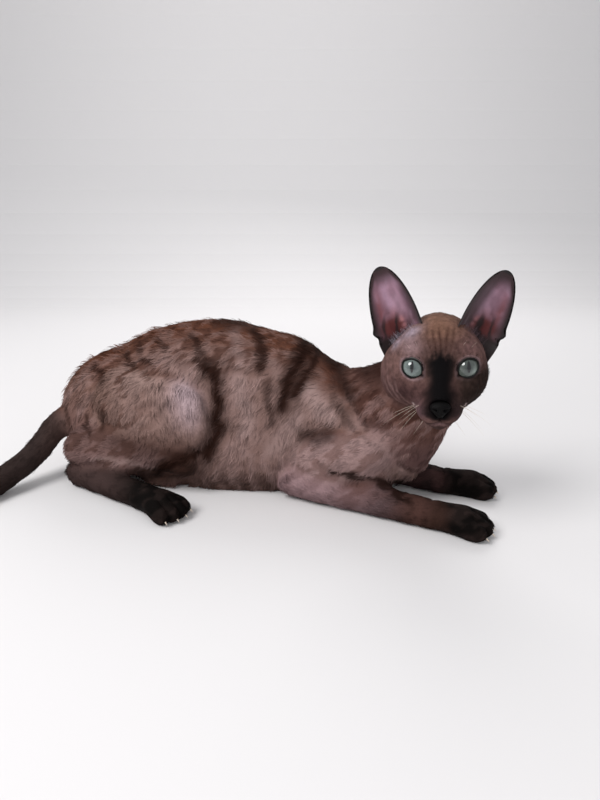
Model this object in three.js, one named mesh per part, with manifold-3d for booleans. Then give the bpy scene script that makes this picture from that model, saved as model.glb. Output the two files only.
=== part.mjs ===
// A rex cat at rest on its chest, life size: its back arched, both forelegs laid forward, its hind feet
// beside it, its tail coming round on the floor, and its head turned to its right over the forelegs.
// Millimetres, +Z up, the body's length along X with the head at +X, and the cat's right side towards -Y.
import * as THREE from "three";
import { mergeVertices } from "three/addons/utils/BufferGeometryUtils.js";
import Module from "manifold-3d";

const wasm = await Module();
wasm.setup();

// Driving dimensions of the animal.
const BACK_HEIGHT = 151; // floor to the top of the arched back
const BODY_WIDTH = 106; // across the belly
const HEAD_WIDTH = 76; // across the cheeks
const EYE_SPACING = 37; // between the centres of the eyeballs
const EYE_RADIUS = 10;
const EAR_LENGTH = 56; // crown to tip, along the ear
const EAR_WIDTH = 36; // at its widest
const TAIL_RADIUS = 14.5; // at the root
const GAP = 0.3; // between pieces that touch, so that each stays a solid of its own

const at = (x, y, z) => new THREE.Vector3(x, y, z);
const radians = THREE.MathUtils.degToRad;
const mirrored = (point, side) => at(point.x, side * point.y, point.z);
const UP = at(0, 0, 1);

// Forms. Each is a function of a point: below zero inside the flesh, and outside it the distance in millimetres.

// An egg-shaped mass of muscle, turned about Z by yaw and then raised at its front by pitch, in degrees.
function lump(centre, radii, yaw = 0, pitch = 0) {
  const back = new THREE.Matrix4()
    .makeRotationFromEuler(new THREE.Euler(0, -radians(pitch), radians(yaw), "ZYX"))
    .setPosition(centre)
    .invert();
  const local = at(0, 0, 0);
  return (p) => {
    local.copy(p).applyMatrix4(back).divide(radii);
    const near = local.length();
    const slope = local.divide(radii).length();
    return slope < 1e-9 ? -Math.min(radii.x, radii.y, radii.z) : (near * (near - 1)) / slope;
  };
}
const ball = (centre, radius) => lump(centre, at(radius, radius, radius));

// A limb's length between two joints, round in section, whose radius runs from ra to rb.
function limb(a, b, ra, rb) {
  const axis = b.clone().sub(a);
  const length = axis.length();
  axis.normalize();
  const lean = (ra - rb) / length;
  const rise = Math.sqrt(1 - lean * lean);
  const local = at(0, 0, 0);
  return (p) => {
    local.copy(p).sub(a);
    const along = local.dot(axis);
    const out = Math.sqrt(Math.max(0, local.lengthSq() - along * along));
    const t = along - (out * lean) / rise;
    if (t <= 0) return local.length() - ra;
    if (t >= length) return p.distanceTo(b) - rb;
    return out * rise + along * lean - ra;
  };
}

// Forms run together, with a fillet of about the given softness.
function blend(soft, ...forms) {
  return (p) => {
    let d = forms[0](p);
    for (const form of forms.slice(1)) {
      const e = form(p);
      const h = Math.max(soft - Math.abs(d - e), 0) / soft;
      d = Math.min(d, e) - (h * h * soft) / 4;
    }
    return d;
  };
}

// How far a ray from inside a form goes before it comes out, in strides that never step over a wall.
function reach(form, from, way, swell) {
  const p = at(0, 0, 0);
  let t = 0;
  for (let i = 0; i < 120; i++) {
    const d = form(p.copy(from).addScaledVector(way, t)) - swell;
    if (d > -0.004) break;
    t += Math.min(Math.max(-0.8 * d, 0.01), 5);
  }
  return t;
}

// The skin of a form: a sphere's grid, its poles carried to the ends of a line inside the form, and each of its
// points pushed out from that line to the surface. cap is the share of the rings that closes each end.
function skin(form, line, { around = 24, along = 24, cap = 0.25, swell = 0, ease = (v) => v } = {}) {
  const sphere = new THREE.SphereGeometry(1, around, along);
  const place = sphere.attributes.position;
  const grid = sphere.attributes.uv;
  const way = at(0, 0, 0);
  for (let i = 0; i < place.count; i++) {
    const v = ease(1 - grid.getY(i));
    const turn = grid.getX(i) * 2 * Math.PI;
    const mid = THREE.MathUtils.clamp((v - cap) / (1 - 2 * cap), 0, 1);
    const tangent = line.getTangentAt(mid);
    const side = at(0, 0, 0).crossVectors(tangent, UP).normalize();
    const top = at(0, 0, 0).crossVectors(tangent, side);
    const polar = (Math.PI / 2) * Math.min(v / cap, (1 - v) / cap, 1);
    way.copy(side).multiplyScalar(-Math.cos(turn) * Math.sin(polar));
    way.addScaledVector(top, Math.sin(turn) * Math.sin(polar));
    way.addScaledVector(tangent, (v < 0.5 ? -1 : 1) * Math.cos(polar));
    const from = line.getPointAt(mid);
    from.addScaledVector(way, reach(form, from, way, swell));
    place.setXYZ(i, from.x, from.y, from.z);
  }
  return solid(sphere);
}

const straight = (a, b) => new THREE.LineCurve3(a, b);
const curve = (...points) => new THREE.CatmullRomCurve3(points, false, "centripetal");

// A closed geometry as a solid that can be joined and cut.
function solid(geometry) {
  const bare = new THREE.BufferGeometry().setAttribute("position", geometry.attributes.position);
  if (geometry.index) bare.setIndex(geometry.index);
  const merged = mergeVertices(bare, 1e-3);
  const corners = [];
  for (let i = 0; i < merged.index.count; i += 3) {
    const [a, b, c] = [0, 1, 2].map((k) => merged.index.getX(i + k));
    if (a !== b && b !== c && c !== a) corners.push(a, b, c);
  }
  return new wasm.Manifold(
    new wasm.Mesh({
      numProp: 3,
      vertProperties: merged.attributes.position.array,
      triVerts: new Uint32Array(corners),
    }),
  );
}

// The largest closed body of a solid, so that no scrap of a cut stays.
const largest = (s) => s.decompose().reduce((a, b) => (a.volume() > b.volume() ? a : b));

// A solid as a named piece of its own colour and finish.
function piece(name, s, colour, roughness = 0.9) {
  const mesh = largest(s).getMesh();
  const geometry = new THREE.BufferGeometry()
    .setAttribute("position", new THREE.BufferAttribute(mesh.vertProperties, 3))
    .setIndex(new THREE.BufferAttribute(mesh.triVerts, 1));
  geometry.computeVertexNormals();
  const made = new THREE.Mesh(geometry, new THREE.MeshStandardMaterial({ color: colour, roughness, metalness: 0 }));
  made.name = name;
  return made;
}

// A big block on one side of a plane. It parts a form at a joint, and trims what lies on the floor.
function block(point, facing, size = 700) {
  const box = new THREE.BoxGeometry(size, size, size);
  box.translate(0, 0, size / 2);
  box.applyQuaternion(new THREE.Quaternion().setFromUnitVectors(UP, facing.clone().normalize()));
  box.translate(point.x, point.y, point.z);
  return solid(box);
}
const aboveFloor = block(at(0, 0, 0), UP, 1400);
const onFloor = (s) => s.intersect(aboveFloor);

// Parts a solid at a plane into the share behind it and the share before it, with the gap between them.
function part(s, point, facing) {
  const away = facing.clone().normalize();
  const before = s.intersect(block(point.clone().addScaledVector(away, GAP / 2), away));
  const behind = s.intersect(block(point.clone().addScaledVector(away, -GAP / 2), away.negate()));
  return [behind, before];
}

// Coat colours.
const COAT = 0x7d5f57;
const HAUNCH = 0x97807a;
const DARK = 0x33292a;
const MASK = 0x4a3836;
const EAR = 0x6e4a50;
const LEATHER = 0x14100f;
const IRIS = 0x8d9c8c;

// Trunk: rump, arched loin and belly, chest and neck, one form along the line of the body.
const halfWidth = BODY_WIDTH / 2;
const spine = curve(
  at(-186, 69, 62),
  at(-150, 67, 70),
  at(-100, 60, 76),
  at(-50, 48, 76),
  at(0, 32, 68),
  at(40, 12, 64),
  at(74, -8, 82),
  at(100, -29, 110),
);
const trunkForm = blend(
  24,
  lump(at(-72, 54, BACK_HEIGHT / 2 - 1.5), at(95, halfWidth, BACK_HEIGHT / 2 + 1), -12),
  lump(at(-74, 43, 31), at(92, 0.83 * halfWidth, 42), -13),
  lump(at(-160, 68, 65), at(72, 0.85 * halfWidth, 58), -4, 14),
  lump(at(-120, 62, 84), at(44, 0.72 * halfWidth, 52), -10),
  lump(at(-5, 33, 61), at(70, 0.85 * halfWidth, 67), -20),
  lump(at(74, -6, 58), at(46, 36, 44), -24),
  lump(at(97, -28, 84), at(23, 20, 21)),
  limb(at(42, 12, 72), at(103, -32, 114), 33, 30),
);
const trunkGrid = { around: 30, along: 32, cap: 0.16 };
const trunk = onFloor(skin(trunkForm, spine, trunkGrid));
const trunkSwollen = skin(trunkForm, spine, { ...trunkGrid, swell: GAP });
const [rearTrunk, frontTrunk] = part(trunk, at(62, 2, 84), at(0.66, -0.36, 0.66));

// A paw: a broad pad with four toes fanned from it, the middle two the longest, and the wrist or instep behind.
function paw(joint, tip, swell = 0) {
  const way = tip.clone().sub(joint).setZ(0).normalize();
  const across = at(0, 0, 0).crossVectors(UP, way);
  const yaw = THREE.MathUtils.radToDeg(Math.atan2(way.y, way.x));
  const toes = [-1.5, -0.5, 0.5, 1.5].map((k) => {
    const centre = tip.clone().addScaledVector(way, -8 - 3.6 * (Math.abs(k) - 0.5));
    return lump(centre.addScaledVector(across, k * 8.2).setZ(8), at(12, 6, 8.6), yaw + 6 * k, -6);
  });
  const pad = tip.clone().addScaledVector(way, -21).setZ(10.5);
  const form = blend(4.5, limb(joint, pad, 12.5, 12), lump(pad, at(17, 15.5, 11.5), yaw), ...toes);
  return skin(form, straight(joint.clone().lerp(pad, 0.3), pad), { around: 20, along: 16, cap: 0.4, swell });
}

// A foreleg: the upper arm from the point of the shoulder back to the elbow, and the forearm along the floor.
function upperArm({ shoulder, elbow }, swell = 0) {
  const muscle = shoulder.clone().lerp(elbow, 0.42).add(at(0, 0, 7));
  const form = blend(20, limb(shoulder, elbow, 25, 15), lump(muscle, at(40, 19, 24), -14, -22));
  return skin(form, straight(shoulder, elbow), { around: 20, along: 14, cap: 0.3, swell });
}
function forearm({ elbow, wrist }, swell = 0) {
  const form = blend(10, limb(elbow, wrist, 16, 12.5), ball(elbow.clone().lerp(wrist, 0.24).add(at(0, 0, 4)), 15));
  return skin(form, straight(elbow, wrist), { around: 16, along: 12, cap: 0.25, swell });
}

// A hind leg, folded: the thigh from the hip down to the knee, and the shank back to the hock.
function thigh({ hip, knee }, swell = 0) {
  const mass = hip.clone().lerp(knee, 0.58).add(at(0, 0, 1));
  const stifle = knee.clone().add(at(-3, 3, 27));
  const form = blend(18, limb(hip, knee, 33, 20), lump(mass, at(55, 30, 44), -8, -3), lump(stifle, at(25, 22, 31)));
  return skin(form, straight(hip, knee), { around: 22, along: 16, cap: 0.35, swell });
}
function shank({ knee, hock }, swell = 0) {
  const below = knee.clone().add(at(-12, -6, -20));
  const above = hock.clone().add(at(8, 3, 17));
  return skin(limb(below, above, 20, 21), straight(below, above), { around: 16, along: 10, cap: 0.3, swell });
}

// The long hind foot, from the heel to the ball behind the toes.
function hindfoot({ hock, tip }, swell = 0) {
  const heel = hock.clone().setZ(13);
  const ballOfFoot = heel.clone().lerp(tip, 0.7).setZ(12);
  return skin(limb(heel, ballOfFoot, 13, 12), straight(heel, ballOfFoot), { around: 14, along: 8, cap: 0.25, swell });
}

const joints = {
  foreleg_right: { shoulder: at(66, -25, 60), elbow: at(-8, -3, 18), wrist: at(102, -59, 12.5), tip: at(146, -75, 8) },
  foreleg_left: { shoulder: at(84, 27, 60), elbow: at(16, 66, 18), wrist: at(126, 5, 12.5), tip: at(171, 0, 8) },
  hindleg_right: { hip: at(-156, 38, 79), knee: at(-87, 17, 52), hock: at(-203, 23, 18), tip: at(-97, -51, 8) },
  hindleg_left: { hip: at(-152, 96, 78), knee: at(-84, 106, 52), hock: at(-194, 115, 18), tip: at(-72, 128, 8) },
};

// Tail: from the root under the rump down to the floor and round in a loose bend, in three lengths.
const tailLine = curve(
  at(-208, 69, 62),
  at(-226, 56, 52),
  at(-246, 30, 26),
  at(-265, -2, 14),
  at(-290, -45, 13),
  at(-325, -82, 11),
  at(-366, -100, 9),
  at(-404, -96, 6.5),
);
const tailRadius = (t) => TAIL_RADIUS * (1 - 0.28 * t - 0.3 * t ** 4);
function tailForm(p) {
  let nearest = Infinity;
  const steps = 60;
  for (let i = 0; i <= steps; i++) {
    const t = i / steps;
    nearest = Math.min(nearest, p.distanceTo(tailSteps[i]) - tailRadius(t));
  }
  return nearest;
}
const tailSteps = tailLine.getSpacedPoints(60);
const tail = skin(tailForm, tailLine, { around: 12, along: 28, cap: 0.08 });

// Head, in a frame of its own: X forward from between the eyes, Y to the cat's left, Z up.
const cheek = HEAD_WIDTH / 2;
const eyeAt = (side) => at(0, (side * EYE_SPACING) / 2, 0);
const bothSides = (make) => [make(1), make(-1)];
const headForm = blend(
  13,
  lump(at(-30, 0, 4), at(34, 31, 27)),
  lump(at(-17, cheek - 21, -9), at(21, 18, 22)),
  lump(at(-19, -(cheek - 13), -10), at(22, 20, 25)),
  ...bothSides((s) => limb(at(-12, s * 14, -12), at(11, s * 6.5, -24), 19, 10)),
  limb(at(2, 0, 2), at(21.5, 0, -19), 9, 6.5),
  limb(at(-14, 0, -26), at(11.5, 0, -33.5), 13, 7.5),
  ...bothSides((s) => lump(at(-9, s * 15, 11), at(12, 13, 9))),
  ...bothSides((s) => lump(at(-1, s * 18, -11), at(12, 10, 9))),
  lump(at(-26, 0, 13), at(24, 15, 17)),
);
const muzzled = blend(5, headForm, ...bothSides((s) => lump(at(15.5, s * 7.8, -27), at(11.5, 9, 8.5))));
const lidded = blend(3.5, muzzled, ...bothSides((s) => ball(eyeAt(s), EYE_RADIUS + 1.3)));
const headLine = straight(at(-30, 0, 4), at(9, 0, -15));
const headGrid = { around: 36, along: 28, cap: 0.4 };
const headGroup = new THREE.Group();
headGroup.position.set(101, -66.5, 132);
headGroup.rotation.set(radians(2.4), radians(5), radians(180 + 80), "ZYX");
headGroup.updateMatrix();
const inBody = (s) => s.transform(headGroup.matrix.toArray());

// Eye opening: an almond cut through the lid, its inner corner low.
function eyeOpening(side) {
  const outline = new THREE.Shape();
  const steps = 18;
  for (let i = 0; i < steps; i++) {
    const turn = (i / steps) * 2 * Math.PI;
    const pinch = 1 - 0.3 * Math.abs(Math.cos(turn)) ** 5;
    outline[i ? "lineTo" : "moveTo"](8.1 * Math.cos(turn), 6.4 * pinch * Math.sin(turn));
  }
  const hole = new THREE.ExtrudeGeometry(outline, { depth: 20, steps: 1, bevelEnabled: false });
  hole.rotateZ(radians(side * 34));
  hole.applyMatrix4(new THREE.Matrix4().makeBasis(at(0, 1, 0), UP, at(1, 0, 0)));
  hole.rotateY(radians(-14));
  hole.rotateZ(radians(side * 7));
  return solid(hole).translate(0, eyeAt(side).y, 0);
}
const eyeball = (side, swell = 0) => {
  const sphere = new THREE.SphereGeometry(EYE_RADIUS + swell, 16, 10);
  sphere.rotateZ(-Math.PI / 2);
  return solid(sphere.translate(...eyeAt(side).toArray()));
};

// Nose leather, with its two nostrils.
const noseForm = blend(3, lump(at(25.8, 0, -21), at(4.6, 7, 4.2)), lump(at(25.3, 0, -24.6), at(4.2, 3.4, 4.4)));
const noseLine = straight(at(23.8, 0, -22), at(26.8, 0, -22.2));
const nose = (swell) => skin(noseForm, noseLine, { around: 14, along: 10, cap: 0.45, swell });
const nostril = (side) => {
  const pit = new THREE.SphereGeometry(1, 8, 6);
  pit.scale(3.2, 1.7, 1.3);
  pit.rotateZ(radians(side * 38));
  return solid(pit.translate(28.9, side * 4.1, -22.2));
};

// The line of the closed mouth: down from the nose, and back along each lip.
function groove(width, ...points) {
  const ring = new THREE.Shape().absarc(0, 0, width, 0, 2 * Math.PI);
  return solid(new THREE.ExtrudeGeometry(ring, { steps: 10, curveSegments: 3, extrudePath: curve(...points), bevelEnabled: false }));
}

// Ear: a cupped shell from inside the crown to its rounded tip, its section a thin bent oval.
function ear(side, { length = EAR_LENGTH, width = EAR_WIDTH, lean, turn }) {
  const shell = new THREE.SphereGeometry(1, 22, 14);
  const place = shell.attributes.position;
  const grid = shell.attributes.uv;
  for (let i = 0; i < place.count; i++) {
    const end = Math.cos(Math.PI * (1 - grid.getY(i)));
    const t = 0.2 - 0.8 * end;
    const round = Math.sqrt(Math.max(0, 1 - Math.abs(end) ** 1.8));
    const turned = grid.getX(i) * 2 * Math.PI;
    const cup = 14 * round * Math.max(0, 1 - 0.8 * t) * Math.sin(turned) ** 2;
    place.setXYZ(i, 1.2 * round * Math.sin(turned) - cup, 0.5 * width * round * Math.cos(turned), length * t);
  }
  shell.applyMatrix4(new THREE.Matrix4().makeRotationZ(radians(side * turn)));
  shell.applyMatrix4(new THREE.Matrix4().makeRotationX(radians(-side * lean)));
  shell.rotateY(radians(-14));
  return solid(shell.translate(-20, side * 27, 14));
}
const ears = {
  ear_left: ear(1, { length: 54.5, width: 40.5, lean: 23, turn: 30 }),
  ear_right: ear(-1, { length: 58.5, width: 37.5, lean: 18, turn: 16 }),
};

const openings = wasm.Manifold.union(bothSides((s) => eyeOpening(s)));
const sockets = wasm.Manifold.union(bothSides((s) => eyeball(s, GAP)));
const onMuzzle = (from, towards) => {
  const way = towards.clone().sub(from).normalize();
  return from.clone().addScaledVector(way, reach(lidded, from, way, 0));
};
const lipLine = [at(25, 0, -34), at(22, 7.5, -36), at(13, 14, -35), at(5, 19, -32), at(-1, 24, -28)];
const mouth = wasm.Manifold.union([
  groove(0.8, ...[at(30, 0, -26), at(28, 0, -30), at(25, 0, -34.5)].map((p) => onMuzzle(at(8, 0, -24), p))),
  ...bothSides((s) => groove(0.8, ...lipLine.map((p) => onMuzzle(at(0, 0, -22), mirrored(p, s))))),
]);
const headWhole = skin(lidded, headLine, headGrid);
const headSwollen = skin(lidded, headLine, { ...headGrid, swell: GAP });
const head = headWhole.subtract(openings).subtract(sockets).subtract(nose(GAP)).subtract(mouth);

headGroup.add(piece("head", head, MASK));
headGroup.add(piece("nose", nose(0).subtract(nostril(1)).subtract(nostril(-1)), LEATHER, 0.5));
for (const s of [1, -1]) headGroup.add(piece(s > 0 ? "eye_left" : "eye_right", eyeball(s), IRIS, 0.1));
for (const [name, s] of Object.entries(ears)) headGroup.add(piece(name, s.subtract(headSwollen), EAR, 0.7));

// The limbs lie on the trunk, each hollowed where it rests on what is under it.
const pieces = [];
for (const [name, j] of Object.entries(joints)) {
  const [leg, side] = name.split("_");
  if (leg === "foreleg") {
    const reachOut = forearm(j).add(paw(j.wrist, j.tip)).subtract(trunkSwollen);
    const [lower, foot] = part(reachOut, j.wrist, j.tip.clone().sub(j.wrist));
    const upper = upperArm(j).subtract(trunkSwollen).subtract(forearm(j, GAP));
    pieces.push(piece("upper_arm_" + side, onFloor(upper), COAT), piece("forearm_" + side, onFloor(lower), COAT));
    pieces.push(piece("forepaw_" + side, onFloor(foot), DARK));
  } else {
    const instep = j.hock.clone().lerp(j.tip, 0.62).setZ(12);
    const whole = hindfoot(j).add(paw(instep, j.tip)).subtract(trunkSwollen);
    const under = hindfoot(j, GAP).add(paw(instep, j.tip, GAP));
    const [foot, toes] = part(whole, instep, j.tip.clone().sub(j.hock));
    const upper = thigh(j).subtract(trunkSwollen).subtract(under);
    const lower = shank(j).subtract(trunkSwollen).subtract(under).subtract(thigh(j, GAP));
    pieces.push(piece("thigh_" + side, onFloor(upper), HAUNCH), piece("shank_" + side, onFloor(lower), HAUNCH));
    pieces.push(piece("hindfoot_" + side, onFloor(foot), DARK), piece("hindpaw_" + side, onFloor(toes), DARK));
  }
}
const tailFree = onFloor(tail.subtract(trunkSwollen).subtract(shank(joints.hindleg_right, GAP)));
const [tailRoot, tailRest] = part(largest(tailFree), tailLine.getPointAt(0.38), tailLine.getTangentAt(0.38));
const [tailMiddle, tailTip] = part(tailRest, tailLine.getPointAt(0.7), tailLine.getTangentAt(0.7));
pieces.push(piece("tail_root", tailRoot, DARK), piece("tail_middle", tailMiddle, DARK), piece("tail_tip", tailTip, DARK));

const cat = new THREE.Group();
cat.add(headGroup, piece("torso", rearTrunk, COAT));
cat.add(piece("neck", frontTrunk.subtract(inBody(headSwollen)), COAT), ...pieces);
const footprint = new THREE.Box3().setFromObject(cat);
cat.position.set(-(footprint.min.x + footprint.max.x) / 2, -(footprint.min.y + footprint.max.y) / 2, 0);

export default cat;
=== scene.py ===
import math

import bmesh
import bpy
import numpy as np
from mathutils import Matrix, Vector, noise
from mathutils.bvhtree import BVHTree
from mathutils.kdtree import KDTree


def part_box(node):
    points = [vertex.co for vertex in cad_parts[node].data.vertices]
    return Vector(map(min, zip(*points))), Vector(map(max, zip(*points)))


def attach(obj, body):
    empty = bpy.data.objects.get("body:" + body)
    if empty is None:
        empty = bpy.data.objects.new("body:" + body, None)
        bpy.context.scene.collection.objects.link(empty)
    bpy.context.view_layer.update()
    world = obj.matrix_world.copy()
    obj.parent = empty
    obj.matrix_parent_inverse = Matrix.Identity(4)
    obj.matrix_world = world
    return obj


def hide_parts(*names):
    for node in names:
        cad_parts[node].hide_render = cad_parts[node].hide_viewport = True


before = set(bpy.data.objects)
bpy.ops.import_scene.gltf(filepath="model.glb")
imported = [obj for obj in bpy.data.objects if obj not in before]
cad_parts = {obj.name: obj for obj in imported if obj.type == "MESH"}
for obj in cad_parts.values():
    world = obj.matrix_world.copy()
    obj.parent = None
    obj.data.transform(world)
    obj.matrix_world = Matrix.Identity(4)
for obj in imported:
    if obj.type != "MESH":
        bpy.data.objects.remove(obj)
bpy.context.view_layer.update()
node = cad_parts

# Hide. One skin over muscle from the muzzle to the tip of the tail, so that no joint between the solids
# shows. It is wrapped on them, and lies under their outline by the depth of the coat that will cover it.


def about(axis, degrees):
    return Matrix.Rotation(math.radians(degrees), 3, axis)


# Places on the body are in millimetres from a point on the floor under its middle, and those
# on the face from the point between the eyes, because the head is turned to its right.
low_right, high_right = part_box("eye_right")
low_left, high_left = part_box("eye_left")
between_eyes = np.array(low_right + high_right + low_left + high_left) / 4
body_origin = between_eyes - (0.101, -0.0665, 0.132)
turned = about("Z", 260) @ about("Y", 5)
facing = np.array(turned @ about("X", 2.4))


def spot(*place):
    return body_origin + np.array(place) / 1000


def on_face(places):
    return between_eyes + np.array(places, float) @ facing.T / 1000


def body_mm(points):
    return (points - body_origin) * 1000


def face_mm(points):
    return (points - between_eyes) @ facing * 1000


def ramp(x, low, high):
    t = np.clip((x - low) / (high - low), 0, 1)
    return t * t * (3 - 2 * t)


def hump(x, middle, width):
    return np.exp(-(((x - middle) / width) ** 2))


def length_of(vectors):
    return np.maximum(np.sqrt((vectors * vectors).sum(-1, keepdims=True)), 1e-12)


def linked(name, data):
    thing = bpy.data.objects.new(name, data)
    bpy.context.scene.collection.objects.link(thing)
    return thing


depths = {
    "torso": 2.3, "neck": 2.1, "thigh": 2.2, "shank": 1.6, "upper_arm": 1.9, "forearm": 1.6, "tail": 1.9
}
depths |= {"hindfoot": 1.2, "hindpaw": 0.9, "forepaw": 0.9, "head": 0.9, "eye": 0.9, "nose": 0.9}
flesh = [n for n in node if not n.startswith(("ear", "eye", "nose"))]
kinds = list(depths)
whole = bmesh.new()
kind_of_face = []
for name in flesh + [n for n in node if n.startswith(("eye", "nose"))]:
    whole.from_mesh(node[name].data)
    kind = next(i for i, k in enumerate(kinds) if name.startswith(k))
    kind_of_face += [kind] * (len(whole.faces) - len(kind_of_face))
# A lump of hide under the thigh fills the pocket before the hind foot; a dark mark paints it as shadow.
tucked = Matrix.Translation(spot(-122, 24, 20)) @ Matrix.Diagonal((0.037, 0.022, 0.0195, 1))
bmesh.ops.create_icosphere(whole, subdivisions=4, radius=1, matrix=tucked)
kind_of_face += [kinds.index("thigh")] * (len(whole.faces) - len(kind_of_face))
solids = BVHTree.FromBMesh(whole)
kind_of_face = np.array(kind_of_face)
bmesh.ops.remove_doubles(whole, verts=whole.verts, dist=1e-6)
whole.normal_update()
for v in whole.verts:
    v.co += v.normal * 0.0004
raw = bpy.data.meshes.new("hide")
whole.to_mesh(raw)
whole.free()
hide = linked("hide", raw)
wrap = hide.modifiers.new("wrap", "REMESH")
wrap.mode = "VOXEL"
wrap.voxel_size = 0.00245
hide.data = bpy.data.meshes.new_from_object(hide.evaluated_get(bpy.context.evaluated_depsgraph_get()))
hide.modifiers.clear()


def read(mesh):
    place = np.empty(len(mesh.vertices) * 3, np.float32)
    mesh.vertices.foreach_get("co", place)
    pairs = np.empty(len(mesh.edges) * 2, np.int32)
    mesh.edges.foreach_get("vertices", pairs)
    return place.reshape(-1, 3).astype(float), pairs.reshape(-1, 2)


def normals(mesh):
    out = np.empty(len(mesh.vertices) * 3, np.float32)
    mesh.vertex_normals.foreach_get("vector", out)
    return out.reshape(-1, 3).astype(float)


def reshape(mesh, place):
    mesh.vertices.foreach_set("co", place.astype(np.float32).ravel())
    mesh.update()


def relaxed(values, pairs, rounds, share=0.5):
    many = len(values)
    both = np.concatenate([pairs, pairs[:, ::-1]])
    count = np.maximum(np.bincount(both[:, 0], minlength=many), 1)[:, None]
    share = np.broadcast_to(np.reshape(share, (-1, 1)), (many, 1))
    for _ in range(rounds):
        theirs = values[both[:, 1]]
        mean = np.stack(
            [np.bincount(both[:, 0], theirs[:, k], many) for k in range(values.shape[1])], 1
        )
        values = values + share * (mean / count - values)
    return values


def over_solids(place):
    height = np.empty(len(place))
    kind = np.empty(len(place), int)
    for i, p in enumerate(map(Vector, place)):
        near, out, face, far = solids.find_nearest(p)
        height[i] = math.copysign(far, (p - near).dot(out))
        kind[i] = kind_of_face[face]
    return height, kind


def settled(mesh, rounds, share, even):
    place, pairs = read(mesh)
    reshape(mesh, relaxed(place, pairs, rounds, share))
    place, pairs = read(mesh)
    height, kind = over_solids(place)
    low = ramp(body_mm(place)[:, 2], 0.5, 9)
    depth = np.array([depths[k] for k in kinds])[kind] / 1000 * low + 0.0003
    b = body_mm(place)
    depth -= 0.0042 * hump(b[:, 0], 4, 26) * ramp(b[:, 2], 108, 134) * (b[:, 1] > -10)
    push = relaxed(np.clip(-depth - height, -0.004, 0.004)[:, None], pairs, even)
    reshape(mesh, place + normals(mesh) * push)


def refined(mesh, inside):
    finer = bmesh.new()
    finer.from_mesh(mesh)
    edges = [e for e in finer.edges if inside[e.verts[0].index] and inside[e.verts[1].index]]
    bmesh.ops.subdivide_edges(finer, edges=edges, cuts=1, use_grid_fill=True)
    finer.to_mesh(mesh)
    finer.free()


# The tip of each paw and the way it points: the grooves between the toes are cut from there.
toe_tips = {"forepaw_right": ((102, -59), (146, -75)), "forepaw_left": ((126, 5), (171, 0))}
toe_tips |= {"hindpaw_right": ((-203, 23), (-97, -51)), "hindpaw_left": ((-194, 115), (-72, 128))}


def paw_frame(name):
    heel, tip = (np.array(p, float) for p in toe_tips[name])
    way = (tip - heel) / np.hypot(*(tip - heel))
    return tip, way, np.array((-way[1], way[0]))


def at_toes(b, name):
    tip, way, across = paw_frame(name)
    return (b[:, :2] - tip) @ way, (b[:, :2] - tip) @ across


def near_toes(b, reach):
    inside = np.zeros(len(b), bool)
    for name in toe_tips:
        ahead, aside = at_toes(b, name)
        inside |= (ahead > -reach) & (np.abs(aside) < 24) & (ahead < 12)
    return inside


place, pairs = read(hide.data)
on_head = ramp(64 - length_of(face_mm(place) - (-12, 0, -6)), 0, 14)
on_toes = near_toes(body_mm(place), 32)[:, None]
settled(hide.data, 12, 0.5 - 0.32 * np.maximum(on_head, on_toes), 8)
place, pairs = read(hide.data)
refined(
    hide.data, (length_of(face_mm(place) - (-14, 0, -6))[:, 0] < 50) | near_toes(body_mm(place), 26)
)
place, pairs = read(hide.data)
settled(hide.data, 8, 0.5 * ramp(56 - length_of(face_mm(place) - (-14, 0, -6)), 0, 6), 4)
place, pairs = read(hide.data)
f = face_mm(place)
refined(
    hide.data, (f[:, 0] > -8 - 0.3 * f[:, 2]) & (np.abs(f[:, 1]) < 31) & (np.abs(f[:, 2] + 14) < 28)
)
place, pairs = read(hide.data)
settled(hide.data, 5, 0.5 * ramp(45 - length_of(face_mm(place) - (12, 0, -12)), 0, 15), 4)

# Loose skin fills the grooves behind the thigh, across the elbow and round the nape: only hollows rise.
place, pairs = read(hide.data)
b = body_mm(place)
loose = ramp(-b[:, 0], 90, 108) * ramp(b[:, 2], 33, 43) * ramp(120 - b[:, 2], 0, 8) * (b[:, 1] < 80)
arm = (
    ramp(b[:, 0], -8, 4) * ramp(84 - b[:, 0], 0, 14) * ramp(b[:, 2], 16, 24) * ramp(72 - b[:, 2], 0, 10)
)
pocket = (
    ramp(-b[:, 0], 112, 122) * ramp(b[:, 0] + 174, 0, 8) * ramp(b[:, 2], 4, 10)
    * ramp(38 - b[:, 2], 0, 6)
)
f = face_mm(place)
nape = ramp(-f[:, 0], 18, 32) * ramp(72 - length_of(f - (-62, 0, -24))[:, 0], 0, 14)
loose = np.maximum(np.maximum(loose, arm * (b[:, 1] < 10)), pocket * (b[:, 1] > -16) * (b[:, 1] < 44))
loose = np.maximum(np.maximum(loose, nape), ramp(-b[:, 0], 212, 228))[:, None]
flat = relaxed(place, pairs, 110, 0.5 * loose)
lifted = np.clip(((flat - place) * normals(hide.data)).sum(1, keepdims=True), 0, 0.007)
reshape(hide.data, relaxed(place + normals(hide.data) * lifted, pairs, 4, 0.5 * loose))
place, pairs = read(hide.data)

# Face. The folds of the bare skin: lids drawn over each eyeball, the seat of the nose, the split lip and
# the line of the closed mouth under the whisker pads, and fine wrinkles up the forehead between the ears.
eye_radius = 10.0
lid_half = (8.0, 6.35)
lid_pinch = 0.34
lid_tilt = 34
sides = {"left": 1, "right": -1}


def gaze(side):
    turn = about("Z", 7 * side) @ about("Y", -14)
    return np.array(turn @ about("X", lid_tilt * side))


def across_eye(f, side):
    local = (f - (0, 18.5 * side, 0)) @ gaze(side)
    far = length_of(local)[:, 0]
    a, b = local[:, 1] / lid_half[0], local[:, 2] / lid_half[1]
    pinch = 1 - lid_pinch * np.abs(a / np.maximum(np.hypot(a, b), 1e-6)) ** 4
    lid = np.hypot(a, b / pinch)
    return np.where(local[:, 0] > 0, lid, 9), far, local[:, 2]


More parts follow.
